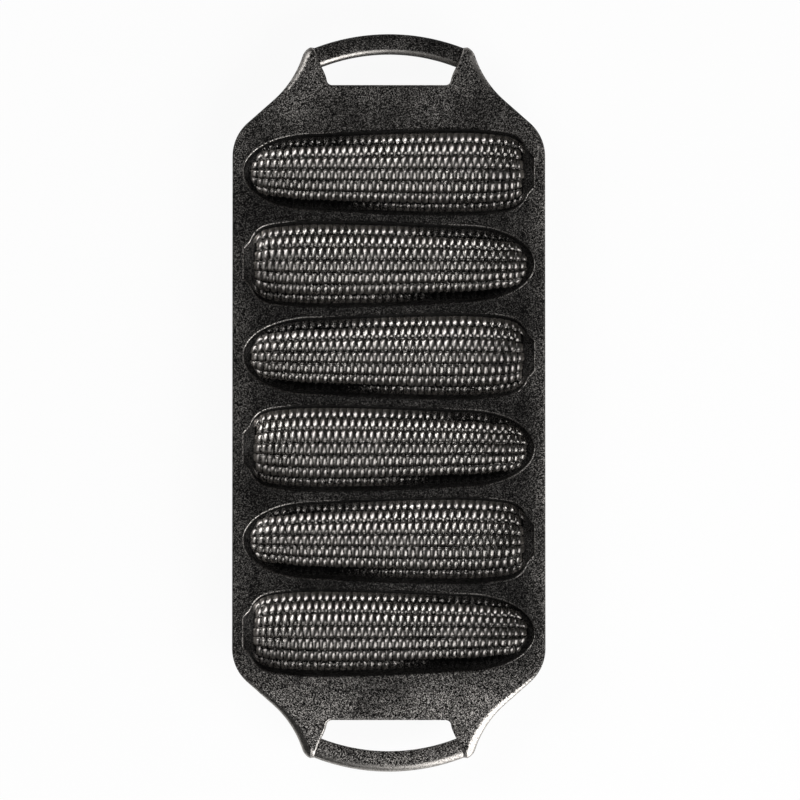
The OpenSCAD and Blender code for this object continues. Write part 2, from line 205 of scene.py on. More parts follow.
def sand_share_with_painted_light(tree, place, everywhere, far_end=0.0, near_end=0.0, left_side=0.0, right_side=0.0):
    along = add_node(tree, "SeparateXYZ", {}, {"Vector": place})
    # Painted light: each band adds grey specks towards one end or one margin.
    bands = (("Y", END_FROM, END_TO, far_end), ("Y", -END_FROM, -END_TO, near_end),
             ("X", -SIDE_FROM, -SIDE_TO, left_side), ("X", SIDE_FROM, SIDE_TO, right_side))
    sand_and_light = add_node(tree, "Math", {"operation": "ADD", 0: everywhere, 1: 0.0})
    for axis, start, stop, extra in bands:
        ramp = {"From Min": start * MM, "From Max": stop * MM, "To Min": 0.0, "To Max": extra}
        band = add_node(tree, "MapRange", ramp, {"Value": along.outputs[axis]})
        sand_and_light = add_node(tree, "Math", {"operation": "ADD"},
                       {0: sand_and_light.outputs["Value"], 1: band.outputs["Result"]})
    return sand_and_light.outputs["Value"]

print(f"dry ends from {END_FROM} mm, dry margins from {SIDE_FROM} mm")

# %% Sand that shows, with the painted light of the bands
PATCH_LOW, PATCH_HIGH = 0.3, 0.7
BARE_PATCH, FULL_PATCH = 0.45, 1.3
RARE_BRIGHT = 4.0

def sand_specks_with_painted_light(tree, lots, patches, sand_and_light, cast):
    bright = add_node(tree, "Math", {"operation": "POWER", 1: RARE_BRIGHT}, {0: lots["Red"]})
    ramp = {"From Min": PATCH_LOW, "From Max": PATCH_HIGH, "To Min": BARE_PATCH, "To Max": FULL_PATCH}
    uneven = add_node(tree, "MapRange", ramp, {"Value": patches})
    speck_with_painted_light = bright.outputs["Value"]
    for share in (uneven.outputs["Result"], sand_and_light, cast):
        speck_with_painted_light = add_node(tree, "Math", {"operation": "MULTIPLY"}, {0: speck_with_painted_light, 1: share}).outputs["Value"]
    return speck_with_painted_light

print(f"one grain in {1 / (1 - 0.5 ** (1 / RARE_BRIGHT)):.0f} is more than half bright")

# %% [markdown]
# ## The iron as a material
# Here the parts come together: the skin, black with grey specks where it is sandy, more of them in the
# bands of painted light, and over it the bare iron, a little lighter or darker from grain to grain.
# Metallic goes up at once where any metal shows, since thin wear is dim metal and not a pale paint, and
# the IOR stays at its default. Roughness falls and the relief flattens with the wear. The skin's gloss is
# low, because a sooty baked film hardly shines until it is rubbed.

# %% Seasoned iron material
METAL_FROM = 0.06
SKIN_GLOSS, METAL_GLOSS, SKIN_ROUGHNESS = 0.06, 0.5, 0.6
WORN_RELIEF = 0.3
SAND_AND_PAINTED_LIGHT_GREY = "#c9c4bf"

def seasoned_iron(name, skin, grain_gloss, rubbed, roughness, relief_mm, **sand_and_light_bands):
    material = bpy.data.materials.new(name)
    material.use_nodes = True
    tree = material.node_tree
    place = add_node(tree, "TexCoord").outputs["Object"]
    # This number is wear, and inside the ears also painted shade.
    wear = add_node(tree, "Attribute", {"attribute_name": "polish"}).outputs["Fac"]
    cast = add_node(tree, "Attribute", {"attribute_name": "as_cast"}).outputs["Fac"]
    pebbles, patches, lots = iron_pattern(tree, place)
    polish = bare_grains(tree, wear, lots)
    speck_with_painted_light = sand_specks_with_painted_light(tree, lots, patches, sand_share_with_painted_light(tree, place, **sand_and_light_bands), cast)

    skin_ends = {"data_type": "RGBA", 6: linear(skin), 7: linear(SAND_AND_PAINTED_LIGHT_GREY)}
    skin_colour = add_node(tree, "Mix", skin_ends, {"Factor": speck_with_painted_light})
    bare_ends = {"data_type": "RGBA", 6: linear(rubbed[0]), 7: linear(rubbed[1])}
    bare_colour = add_node(tree, "Mix", bare_ends, {"Factor": lots["Green"]})
    colour = add_node(tree, "Mix", {"data_type": "RGBA"},
                      {"Factor": polish, 6: skin_colour.outputs[2], 7: bare_colour.outputs[2]})
    metal = add_node(tree, "MapRange", {"From Max": METAL_FROM}, {"Value": polish})

    sheen = add_node(tree, "Math", {"operation": "MULTIPLY", 1: SKIN_GLOSS}, {0: cast})
    glint = add_node(tree, "Math", {"operation": "MULTIPLY_ADD", 1: grain_gloss},
                     {0: speck_with_painted_light, 2: sheen.outputs["Value"]})
    gloss = add_node(tree, "Math", {"operation": "MULTIPLY_ADD", 1: METAL_GLOSS},
                     {0: polish, 2: glint.outputs["Value"]})
    ramp = {"From Min": PATCH_LOW, "From Max": PATCH_HIGH, "To Min": roughness[1], "To Max": roughness[0]}
    bare_rough = add_node(tree, "MapRange", ramp, {"Value": patches})
    rough = add_node(tree, "Mix", {"data_type": "FLOAT", 2: SKIN_ROUGHNESS},
                     {0: polish, 3: bare_rough.outputs["Result"]})

    relief = add_node(tree, "MapRange", {"To Min": 1.0, "To Max": WORN_RELIEF}, {"Value": polish})
    bump = add_node(tree, "Bump", {"Distance": relief_mm * MM},
                    {"Height": pebbles, "Strength": relief.outputs["Result"]})
    looks = {"Base Color": colour.outputs[2], "Metallic": metal.outputs["Result"],
             "Roughness": rough.outputs[0], "Specular IOR Level": gloss.outputs["Value"],
             "Normal": bump.outputs["Normal"]}
    for socket, source in looks.items():
        tree.links.new(source, tree.nodes["Principled BSDF"].inputs[socket])
    print(f"{name}: relief {relief_mm} mm, roughness {roughness[0]} to {roughness[1]}")
    return material

# %% [markdown]
# ## Three irons
# The deck and the bars share the skin and the rubbed metal, and differ in where their bands of painted
# light lie. In the kernels the bread has rubbed the metal lighter and smoother, and the skin between them
# holds a little more light.

# %% The three irons
PLATE = {"skin": "#010101", "grain_gloss": 0.6, "rubbed": ("#7c7875", "#bab6b1"), "roughness": (0.3, 0.36),
         "relief_mm": 0.12}
BOWLS = {"skin": "#050505", "grain_gloss": 1.2, "rubbed": ("#8e8a86", "#afaba7"), "roughness": (0.25, 0.31),
         "relief_mm": 0.1}
# The end and side shares are painted light: more grey specks towards those edges.
deck_iron = seasoned_iron("seasoned_iron_as_cast", **PLATE, everywhere=0.18, far_end=0.45, near_end=0.86,
                          left_side=0.24, right_side=0.42)
bar_iron = seasoned_iron("seasoned_iron_bars", **PLATE, everywhere=0.22, far_end=0.1, near_end=0.8)
kernel_iron = seasoned_iron("seasoned_iron_kernels", **BOWLS, everywhere=0.25)

# %% [markdown]
# ## The outline of an ear
# Seen from above an ear has a round nose, a barrel that swells slowly, a butt that turns in sharply and a
# short stem with a flat end. It is the same formula as in the solid model, written for whole arrays of
# stations at once. Growing it outwards gives the shell's outer face.

# %% Ear profile
BELLY_X = EAR_LENGTH * 0.745
BARREL_FALL, BARREL_RUN = 3.0, 30.0
NOSE_POWER, BUTT_POWER = 2.2, 4
BUTT_LENGTH, BUTT_REACH = 17.7, 1.4
STEM_FLARE, STEM_RUN = 1.1, 8.0

def ear_half_width(x, grow=0.0):
    x = np.asarray(x, float)
    from_tip = np.maximum(0, x + grow)
    from_end = np.maximum(0, EAR_LENGTH + grow - x)
    nose_length = NOSE_LENGTH + grow
    share = np.maximum(0, 1 - from_tip / nose_length)
    nose = (NOSE_RADIUS + grow) * np.sqrt(1 - share ** NOSE_POWER)
    turn = np.pi / 2 * (x - NOSE_LENGTH) / (BELLY_X - NOSE_LENGTH)
    belly = NOSE_RADIUS + grow + (EAR_RADIUS - NOSE_RADIUS) * np.sin(turn)
    barrel = EAR_RADIUS + grow - BARREL_FALL * ((x - BELLY_X) / BARREL_RUN) ** 2
    body = np.where(from_tip < nose_length, nose, np.where(x < BELLY_X, belly, barrel))
    butt_share = np.maximum(0, x - (EAR_LENGTH - BUTT_LENGTH)) / (BUTT_LENGTH - BUTT_REACH + grow)
    butt = np.maximum(0, 1 - butt_share ** BUTT_POWER)
    stem = np.where(from_end > STEM_RUN, 0, STEM_RADIUS + grow + STEM_FLARE * from_end)
    return np.maximum(body * np.sqrt(butt), stem)

print("ear half widths:", np.round(ear_half_width([5, 37, 105, 130, EAR_LENGTH]), 1))

# %% [markdown]
# ## Kernels
# On a pan each kernel is a small bowl, and the ridges between the bowls become the grooves of the corn
# stick. Seven rows run the length of the ear. A row is a shallow trough with a chain of bowls in it,
# worked out as a depth for every point of the cavity: a bump map would not catch the light at the edge of
# a bowl. The rows start within half a kernel of each other. They fan out towards the nose, where they
# begin along an arc, and the two outer rows have no neighbour, so they run out softly up the wall. Depths
# and spacing vary a little, from a fixed seed, because such a pattern is carved by hand.

# %% Sizes of the kernels
KERNEL_ROWS, KERNEL_COUNT = 7, 38
KERNEL_PITCH, KERNEL_START = 3.54, 1.9
KERNEL_FIELD = 60.5
TROUGH_DEPTH, KERNEL_DEPTH, RIDGE_RISE = 0.9, 0.9, 0.3
SHALLOWEST, DEEPEST, SPARE_KERNELS = 0.78, 1.14, 3
ROW_SHIFT = (0.35, -0.05, 0.15, 0.35, 0.2, 0.0, 0.45)
ROW_ANGLE = 2 * KERNEL_FIELD / KERNEL_ROWS
FIELD_END = KERNEL_START + KERNEL_COUNT * KERNEL_PITCH
print(f"a row is {ROW_ANGLE:.1f} degrees wide and ends {EAR_LENGTH - FIELD_END:.1f} mm short of the ear")

# %% Where the rows begin
NOSE_ARC, NOSE_FADE = 6.0, 1.4

def ease(v):
    v = np.clip(v, 0, 1)
    return v * v * (3 - 2 * v)

def in_kernels(x, angle):
    front = KERNEL_START + NOSE_ARC * (angle / KERNEL_FIELD) ** 2
    return ease((x[:, None] - front[None, :]) / NOSE_FADE)

print("an outer row begins", KERNEL_START + NOSE_ARC, "mm from the tip")

# %% Sway of the rows
LEAST_SWAY, MOST_SWAY, SWAY_WAVE = 0.05, 0.13, 41.0
ZIGZAG = 0.06 * ROW_ANGLE
RUN_OUT = 7.0
TIP_SPREAD, TIP_SPREAD_END = 0.45, 20.0

def row_phases(x, rng):
    drift = rng.uniform(0, 2 * np.pi, KERNEL_ROWS)
    sway = rng.uniform(LEAST_SWAY, MOST_SWAY, KERNEL_ROWS)
    return [(x - KERNEL_START) / KERNEL_PITCH - ROW_SHIFT[j]
            + sway[j] * np.sin(2 * np.pi * x / SWAY_WAVE + drift[j]) for j in range(KERNEL_ROWS)]

def ridge_lines(x, along):
    bulge = [np.cos(np.pi / 2 * u) ** 2 for u in along]
    spread = 1 + TIP_SPREAD * (1 - ease(x / TIP_SPREAD_END))
    lines = []
    for j in range(KERNEL_ROWS + 1):
        below = bulge[j - 1] if j > 0 else 0
        above = bulge[j] if j < KERNEL_ROWS else 0
        run_out = -RUN_OUT if j == 0 else RUN_OUT if j == KERNEL_ROWS else 0
        lines.append((-KERNEL_FIELD + j * ROW_ANGLE) * spread + run_out + ZIGZAG * (below - above))
    return lines

print(f"kernels sway by up to {MOST_SWAY * KERNEL_PITCH:.2f} mm, ridges by {ZIGZAG:.1f} degrees")

# %% [markdown]
# ## Depth and wear of the kernels
# Across and along, a bowl is a pillow: flat in the middle and steep at the edge, which a power above two
# gives. The trough carries the bowls, so a row still reads as one groove between two kernels. The bowls
# are rubbed and the ridges between them stay black, so the same pass returns depth and wear together. The
# wear given per row also carries painted shade, which darkens the near rows.

# %% Kernel relief
POWER_ALONG, POWER_ACROSS = 2.4, 3.2
BOWL_EDGE = 2
FIELD_EDGE, FIELD_FADE = 58.0, 8.0
FULL_SIZE_HALF, LEAST_SIZE = 13.0, 0.85
ROW_POLISH_EDGE, PIT_POLISH_EDGE = 0.6, 0.55

def pillow(v, power):
    return 1 - np.abs(np.clip(v, -1, 1)) ** power

def kernel_relief(x, angle, rng, row_polish):
    phase = row_phases(x, rng)
    own_depth = KERNEL_DEPTH * rng.uniform(SHALLOWEST, DEEPEST, (KERNEL_ROWS, KERNEL_COUNT + SPARE_KERNELS))
    along = [2 * (p - np.floor(p)) - 1 for p in phase]
    lines = ridge_lines(x, along)
    narrow = np.clip(ear_half_width(x) / FULL_SIZE_HALF, LEAST_SIZE, 1)[:, None]
    edge_fade = np.clip((FIELD_EDGE + FIELD_FADE - np.abs(angle[None, :])) / FIELD_FADE, 0, 1)
    on_field = in_kernels(x, angle) * edge_fade
    depth = np.zeros((len(x), len(angle)))
    polish = np.zeros((len(x), len(angle)))
    for j in range(KERNEL_ROWS):
        outer_side = {0: -1, KERNEL_ROWS - 1: 1}.get(j, 0)
        low, high = lines[j][:, None], lines[j + 1][:, None]
        v = 2 * (angle[None, :] - low) / (high - low) - 1
        inside = np.abs(v) < 1
        soft_v = np.cos(np.pi / 2 * np.clip(v, -1, 1)) ** 2
        round_v = np.where(v * outer_side > 0, soft_v, pillow(v, POWER_ACROSS))
        round_u = pillow(along[j], POWER_ALONG)[:, None]
        number = np.clip(np.floor(phase[j]).astype(int) + 1, 0, KERNEL_COUNT + SPARE_KERNELS - 1)
        there = inside & ((phase[j] >= 0) & (phase[j] < KERNEL_COUNT))[:, None]
        pit = own_depth[j][number][:, None] * round_u * np.minimum(1, BOWL_EDGE * round_v)
        rise = 0 if outer_side else RIDGE_RISE
        depth += np.where(there, (TROUGH_DEPTH * round_v + pit - rise) * narrow * on_field, 0)
        bright = ease(round_v / ROW_POLISH_EDGE) * ease(round_u / PIT_POLISH_EDGE)
        polish += np.where(there, row_polish[j][:, None] * bright * on_field, 0)
    return depth, polish

print(f"deepest kernel {TROUGH_DEPTH + KERNEL_DEPTH * DEEPEST - RIDGE_RISE:.2f} mm")

# %% [markdown]
# ## An ear cup
# The cavity is one grid: stations along the ear, and across each station the rim's small round, the wall,
# the half-round bottom with its kernels, and the other wall. At the stem the last station is carried
# straight up as a flat wall and over its own rim. A grid was chosen because the kernels then follow the
# rows by themselves. On the real pan the rows on the far side sit a little higher up the wall, so there
# the row pattern is stretched, while the points stay where they are.

# %% Stations along the ear and angles across it
PER_KERNEL, PER_ROW = 8, 9
TIP_STEPS, STEM_STEPS = 12, 16
ROUND_STEPS, WALL_STEPS, SMOOTH_STEPS, RUN_OUT_STEPS = 4, 4, 7, 3
FAR_LIFT = 0.11 / KERNEL_FIELD

tip_x = KERNEL_START * np.linspace(0, 1, TIP_STEPS, endpoint=False) ** 2
field_x = KERNEL_START + KERNEL_PITCH / PER_KERNEL * np.arange(PER_KERNEL * KERNEL_COUNT)
stem_x = FIELD_END + (EAR_LENGTH - FIELD_END) * np.sin(np.linspace(0, np.pi / 2, STEM_STEPS))
station_x = np.concatenate([tip_x, field_x, stem_x])

wall_start = KERNEL_FIELD + RUN_OUT
bends = (-90, -wall_start, -KERNEL_FIELD, KERNEL_FIELD, wall_start, 90)
steps = (SMOOTH_STEPS, RUN_OUT_STEPS, PER_ROW * KERNEL_ROWS, RUN_OUT_STEPS, SMOOTH_STEPS)
parts = [np.linspace(a, b, n, endpoint=False) for a, b, n in zip(bends, bends[1:], steps)]
bottom_angle = np.concatenate(parts + [[90]])

def row_angle(far_sign):
    lifted = (np.sqrt(1 + 4 * FAR_LIFT * np.abs(bottom_angle)) - 1) / (2 * FAR_LIFT)
    return np.where(bottom_angle * far_sign > 0, far_sign * lifted, bottom_angle)

side_columns = ROUND_STEPS + WALL_STEPS
column_count = 2 * side_columns + len(bottom_angle)
bottom_columns = slice(side_columns, -side_columns)
print(f"{len(station_x)} stations of {column_count} points, walls rise from {wall_start} degrees")

# %% Rim and wall
RIM_ROUND = 0.7
DRAFT = 0.3
SLOPE_STEP = 0.01

def outline_normal(x):
    before = np.maximum(x - SLOPE_STEP, 0)
    rise = ear_half_width(x + SLOPE_STEP) - ear_half_width(before)
    normal = np.stack([-rise, x + SLOPE_STEP - before], 1)
    return normal / np.linalg.norm(normal, axis=1)[:, None]

def side_wall(x, side):
    half = ear_half_width(x)
    normal = outline_normal(x)
    normal[np.isclose(x, 0)] = [-1, 0]
    normal[np.isclose(x, EAR_LENGTH)] = [0, 1]
    columns = []
    for turn in np.linspace(0, np.pi / 2, ROUND_STEPS + 1):
        out = RIM_ROUND * (1 - np.sin(turn))
        columns.append(np.stack([x + normal[:, 0] * out, side * (half + normal[:, 1] * out),
                                 np.full_like(x, TOP - RIM_ROUND * (1 - np.cos(turn)))], 1))
    for share in np.linspace(0, 1, WALL_STEPS + 1)[1:-1]:
        z = TOP - RIM_ROUND - share * (TOP - RIM_ROUND - UNDER)
        inset = np.minimum(DRAFT * share, half)
        columns.append(np.stack([x, side * (half - inset), np.full_like(x, z)], 1))
    return columns

print(f"the wall leans in by {DRAFT} mm, so that the pan leaves its mould")

# %% Cavity grid
def cavity_grid(rng, row_polish, rows_at):
    x = station_x
    half = ear_half_width(x)
    floor_half = half - np.minimum(DRAFT, half)
    relief, pits = kernel_relief(x, rows_at, rng, row_polish)
    turn = np.radians(bottom_angle)[None, :]
    y = (floor_half[:, None] + relief) * np.sin(turn)
    z = UNDER - (floor_half[:, None] * DEPTH_RATIO + relief) * np.cos(turn)
    bottom = np.stack([np.repeat(x[:, None], y.shape[1], 1), y, z], 2)
    left = np.stack(side_wall(x, -1), 1)
    right = np.stack(side_wall(x, 1)[::-1], 1)
    grid = np.concatenate([left, bottom, right], 1)
    end_rows = []
    for turn in np.linspace(np.pi / 2, 0, ROUND_STEPS + 1):
        row = grid[-1].copy()
        row[:, 0] = EAR_LENGTH + RIM_ROUND * (1 - np.sin(turn))
        row[:, 2] = np.maximum(row[:, 2], TOP - RIM_ROUND * (1 - np.cos(turn)))
        end_rows.append(row)
    return np.concatenate([grid, np.array(end_rows)], 0), pits

print(f"the bottom lies {DEPTH_RATIO:.2f} times as deep as it is wide to one side")

# %% [markdown]
# ## Wear, sand and painted shade inside an ear
# Bread rubs the bowls and a scouring brush reaches the rim round the nose and the stem. Below the rim the
# steep walls and the flat end wall are kept black skin, and that black is painted shade deep in the
# cavity. Sand shows where neither bread nor brush smooths the skin: a little on the walls, more at the
# nose, and most on the floor of the stem. Both are worked out for the same grid as the shape, because a
# painted mask would have to be fitted to it.

# %% Wear and painted wall shade of a cavity
RIM_POLISH, LONG_RIM_POLISH, SMOOTH_POLISH, RIDGE_POLISH = 0.5, 0.12, 0.12, 0.01
NOSE_RIM_TO, NOSE_RIM_FADE, STEM_RIM_FROM, STEM_RIM_FADE = 28.0, 25.0, 114.0, 12.0
SHADE_FROM_ANGLE, SHADE_FULL_ANGLE, WALL_POLISH = 60.0, 72.0, 0.03
RIM_GIVE, RIM_SOFT = 0.05, 0.25

def cavity_wear_and_shade(grid, pits, rows_at):
    x = station_x
    count = len(x)
    at_nose = 1 - ease((x - NOSE_RIM_TO) / NOSE_RIM_FADE)
    at_stem = ease((x - STEM_RIM_FROM) / STEM_RIM_FADE)
    at_ends = np.maximum(at_nose, at_stem)
    polish = np.full(grid.shape[:2], RIM_POLISH)
    polish[:count] = (LONG_RIM_POLISH + (RIM_POLISH - LONG_RIM_POLISH) * at_ends)[:, None]
    in_field = (x >= KERNEL_START) & (x <= FIELD_END)
    smooth_part = np.where(in_field[:, None] & (np.abs(rows_at)[None] < KERNEL_FIELD), 0, SMOOTH_POLISH)
    polish[:count, bottom_columns] = np.maximum(RIDGE_POLISH, np.maximum(pits, smooth_part))
    # Painted shade: beyond 60 degrees round the bottom the walls fade to black skin, and the end wall is
    # black too.
    steep = np.full(grid.shape[1], 90.0)
    steep[bottom_columns] = np.abs(rows_at)
    painted_wall_shade = np.clip((steep - SHADE_FROM_ANGLE) / (SHADE_FULL_ANGLE - SHADE_FROM_ANGLE), 0, 1)
    end_wall = (np.arange(len(grid)) >= count - 2)[:, None]
    wall_wear_and_shade = np.where(end_wall, WALL_POLISH, 1 - (1 - WALL_POLISH) * painted_wall_shade)
    rim_share = np.clip((grid[:, :, 2] - TOP + RIM_ROUND + RIM_GIVE) / RIM_SOFT, 0, 1)
    return polish * np.maximum(wall_wear_and_shade, rim_share)

print(f"bright rim up to {NOSE_RIM_TO} mm from the tip and from {STEM_RIM_FROM} mm on")

# %% Sand in a cavity
PIT_SKIN, WALL_SKIN, NEAR_WALL_SKIN, NOSE_SKIN = 0.03, 0.17, 0.4, 0.45
STEM_SKIN, STEM_FADE = 0.9, 1.0
SANDY_FROM, SANDY_OVER = 42.0, 16.0

def cavity_skin(rows_at, far_sign):
    from_middle = np.arange(column_count) - (column_count - 1) / 2
    across = np.where(from_middle * far_sign < 0, NEAR_WALL_SKIN, WALL_SKIN)
    skin = np.repeat(across[None], len(station_x) + ROUND_STEPS + 1, 0)
    wall = across[bottom_columns]
    row_skin = PIT_SKIN + (wall - PIT_SKIN) * ease((np.abs(rows_at) - SANDY_FROM) / SANDY_OVER)
    bottom = NOSE_SKIN + (row_skin - NOSE_SKIN) * in_kernels(station_x, rows_at)
    bottom = np.where(np.abs(rows_at) < KERNEL_FIELD, bottom, wall)
    bottom += (STEM_SKIN - bottom) * ease((station_x - FIELD_END) / STEM_FADE)[:, None]
    skin[:len(station_x), bottom_columns] = bottom
    return skin

print(f"sand: {PIT_SKIN} in the bowls, {WALL_SKIN} and {NEAR_WALL_SKIN} on the walls, stem {STEM_SKIN}")

# %% [markdown]
# ## The shell of a cup
# From below a cup is a smooth ear, as the founder leaves it, because only the inside has to mould
# anything. It has the same outline, two millimetres larger, and is flat where the pan stands. It runs as
# a second grid with its stations crowded towards both ends, where the outline turns fastest. Cavity and
# shell both meet the deck at edges that lie against the deck's own faces.

# %% Shell under the cavity
SHELL_STATIONS, SHELL_COLUMNS = 72, 41
shell_x = (EAR_LENGTH - (EAR_LENGTH + 2 * SIDE_T) * np.cos(np.linspace(0, np.pi, SHELL_STATIONS))) / 2
shell_angle = np.radians(np.linspace(-90, 90, SHELL_COLUMNS))

def shell_grid():
    half = ear_half_width(shell_x, SIDE_T)
    drop = (half - SIDE_T) * DEPTH_RATIO + (FLOOR_T + REST_FLAT) * np.minimum(1, half / EAR_RADIUS)
    down = np.maximum(0, drop)[:, None] * np.cos(shell_angle)[None, :]
    down = np.minimum(UNDER, down)
    y = half[:, None] * np.sin(shell_angle)[None, :]
    grid = np.stack([np.repeat(shell_x[:, None], SHELL_COLUMNS, 1), y, UNDER - down], 2)
    end = grid[-1].copy()
    end[:, 2] = UNDER
    return np.concatenate([grid, end[None]], 0)

shell = shell_grid()
print(f"shell: {-shell[..., 0].min():.1f} mm past the tip, down to {shell[..., 2].min():.2f} mm")

# %% [markdown]
# ## Six ears in the pan
# The ears lie head to tail, so that six of them fit close. Turning an ear by half a turn swaps its sides,
# so the rows are listed from the far side and turned round with it. The rubbed metal fades from the far
# rows to the near ones, and that fade is painted shade: the near rows are kept duller and darker than
# the far ones. The outermost rows only grow bright some way from the nose. Each ear has its own seed, so
# no two are quite alike.

# %% Put the ears in place
# Painted shade: the polish falls from the far rows to the near ones, so that the near rows render darker.
FAR_TO_NEAR_WEAR_AND_SHADE = (1.0, 1.0, 1.0, 0.95, 0.9, 0.9, 0.6)
OUTER_ROW_START, OUTER_ROW_RUN, FAR_ROW_LEAST = 38.0, 48.0, 0.3
FIRST_SEED = 40

def to_pan(points, center_y, tip_left):
    turned = points.copy()
    turned[..., 0] -= EAR_LENGTH / 2
    if not tip_left:
        turned[..., :2] *= -1
    turned[..., 1] += center_y
    return turned

from_nose = ease((station_x - OUTER_ROW_START) / OUTER_ROW_RUN)
wear_and_shade_by_row = np.outer(FAR_TO_NEAR_WEAR_AND_SHADE, np.ones(len(station_x)))
wear_and_shade_by_row[0] *= FAR_ROW_LEAST + (1 - FAR_ROW_LEAST) * from_nose
wear_and_shade_by_row[-1] *= from_nose

ears = []
for number, (name, (low, high)) in enumerate(zip(cup_nodes, cup_boxes)):
    center_y = (low[1] + high[1]) / 2
    tip_left = number % 2 == 0
    ears.append((center_y, tip_left))
    row_polish = wear_and_shade_by_row[::-1] if tip_left else wear_and_shade_by_row
    far_sign = 1 if tip_left else -1
    rows_at = row_angle(far_sign)
    cavity, pits = cavity_grid(np.random.default_rng(FIRST_SEED + number), row_polish, rows_at)
    rows, columns = cavity.shape[:2]
    points = np.concatenate([cavity.reshape(-1, 3), shell.reshape(-1, 3)])
    faces = grid_faces(rows, columns, flip=True)
    faces += grid_faces(shell.shape[0], SHELL_COLUMNS, rows * columns)
    shell_count = shell.size // 3
    # Painted shade rides in this wear: the black walls and the darker near rows.
    wear = np.concatenate([cavity_wear_and_shade(cavity, pits, rows_at).ravel(), np.zeros(shell_count)])
    sand = np.concatenate([cavity_skin(rows_at, far_sign).ravel(), np.ones(shell_count)])
    make_piece("cast_" + name, to_pan(points, center_y, tip_left), faces, kernel_iron, [name], "kernel_iron",
               polish=wear, as_cast=sand)

# %% [markdown]
# ## The deck
# The deck, its two tapering ends and the four small ears beside the handle bars are one plate with one
# outline: a straight side, a round corner, a hollow waist and a rounded ear, then the cut for the finger
# slot. One quarter of it is drawn and mirrored, as a pattern maker would do, so all four corners match.
# The sizes are those of the solid model. A corner is a true arc that touches both of its straight lines.

# %% Corners that touch both lines
def unit(v):
    return v / np.linalg.norm(v)

def rounded(p, q, s, wanted_r, steps, room):
    p, q, s = (np.asarray(v, float) for v in (p, q, s))
    to_p, to_s = unit(p - q), unit(s - q)
    half = math.acos(float(to_p @ to_s)) / 2
    r = min(wanted_r, room * math.tan(half))
    center = q + unit(to_p + to_s) * r / math.sin(half)
    first = q + to_p * r / math.tan(half) - center
    last = q + to_s * r / math.tan(half) - center
    start = math.atan2(first[1], first[0])
    sweep = (math.atan2(last[1], last[0]) - start + math.pi) % (2 * math.pi) - math.pi
    turns = start + sweep * np.linspace(0, 1, steps + 1)
    return center + r * np.stack([np.cos(turns), np.sin(turns)], 1)

print("a corner's middle point:", np.round(rounded([1, 0], [0, 0], [0, 1], 0.5, 2, 1)[1], 3))

# %% Outline of the plate
SHOULDER_LENGTH = 50.4
WAIST_HALF, WAIST_INSET = 46.7, 24.0
EAR_HALF = 41.2
CORNER_R, WAIST_R, LUG_R = 22.0, 50.0, 7.0
CORNER_ROOM, WAIST_ROOM, LUG_ROOM = 0.5, 0.78, 0.22
BAR_OUTER_R, BAR_W, BAR_H = 101.0, 10.0, bar_high[2] - bar_low[2]
LUG_END_R = BAR_OUTER_R + 0.8
BAR_HALF_ANGLE = math.radians(21.3)
BAR_CENTER_Y = HALF_LENGTH - BAR_OUTER_R
BAR_INNER_R = BAR_OUTER_R - BAR_W
SIDE_STEPS, CORNER_STEPS, LUG_STEPS, LUG_END_STEPS = 24, 22, 14, 4
SIDE_SHORT = 12.0

def on_arc(radius, angle):
    return np.array([radius * math.sin(angle), BAR_CENTER_Y + radius * math.cos(angle)])

corner = np.array([HALF_WIDTH, HALF_LENGTH - SHOULDER_LENGTH])
waist = np.array([WAIST_HALF, HALF_LENGTH - WAIST_INSET])
lug_angle = math.asin(EAR_HALF / LUG_END_R)
lug = on_arc(LUG_END_R, lug_angle)
lug_next = lug + np.array([-math.cos(lug_angle), math.sin(lug_angle)])
rise, slope = np.linalg.norm(lug - waist), np.linalg.norm(corner - waist)
lug_round = rounded(waist, lug, lug_next, LUG_R, LUG_STEPS, LUG_ROOM * rise)
end_angle = math.atan2(lug_round[-1][0], lug_round[-1][1] - BAR_CENTER_Y)
end_arc = [on_arc(LUG_END_R - (LUG_END_R - BAR_OUTER_R) * share,
                  end_angle + (BAR_HALF_ANGLE - end_angle) * share)
           for share in np.linspace(0, 1, LUG_END_STEPS + 1)[1:]]
straight = np.stack([np.full(SIDE_STEPS, HALF_WIDTH), np.linspace(0, corner[1] - SIDE_SHORT, SIDE_STEPS)], 1)
quarter = np.concatenate([
    straight,
    rounded([HALF_WIDTH, 0], corner, waist, CORNER_R, CORNER_STEPS, CORNER_ROOM * slope),
    rounded(corner, waist, lug, WAIST_R, CORNER_STEPS, WAIST_ROOM * rise),
    lug_round, end_arc])
print(f"a quarter outline has {len(quarter)} points")

# %% [markdown]
# ## The finger slots
# A slot is the hole between deck and bar. The plate's outline runs round three of its sides, and the bar
# closes the fourth, so the slot is part of the outline and not a hole that is cut later. Its sides bow
# inwards a little, and its two inner corners are round.

# %% Finger slots and the whole outline
SLOT_DEPTH, SLOT_TAPER, SLOT_BOW, SLOT_R = 15.3, 3.2, 0.5, 2.6
SLOT_STEPS, BEND_STEPS, BEND_ROOM = 9, 8, 3.0

